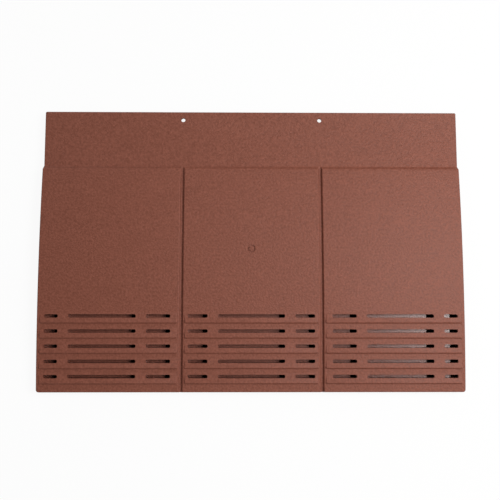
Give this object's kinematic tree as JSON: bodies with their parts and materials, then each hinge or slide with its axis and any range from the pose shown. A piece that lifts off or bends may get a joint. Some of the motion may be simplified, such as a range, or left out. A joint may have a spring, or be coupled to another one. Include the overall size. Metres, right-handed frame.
{
  "type": "roof tile vent",
  "caption": "Low-profile plastic roof vent moulded as a row of plain tiles, with a nailing flange at its head and rows of lipped slots that let air out near its tail.",
  "frame": {"origin": "middle of the bounding box, at the level of the tail skirt and the batten nibs", "axes": "+X across the slope, +Y up the slope towards the nailing flange, +Z out of the weather face"},
  "size_m": [0.5, 0.335, 0.0229],
  "materials": {
    "terracotta_plastic": "fine sparked texture, matt"
  },
  "bodies": {
    "root": {"vent_tile": "terracotta_plastic"}
  },
  "joints": []
}
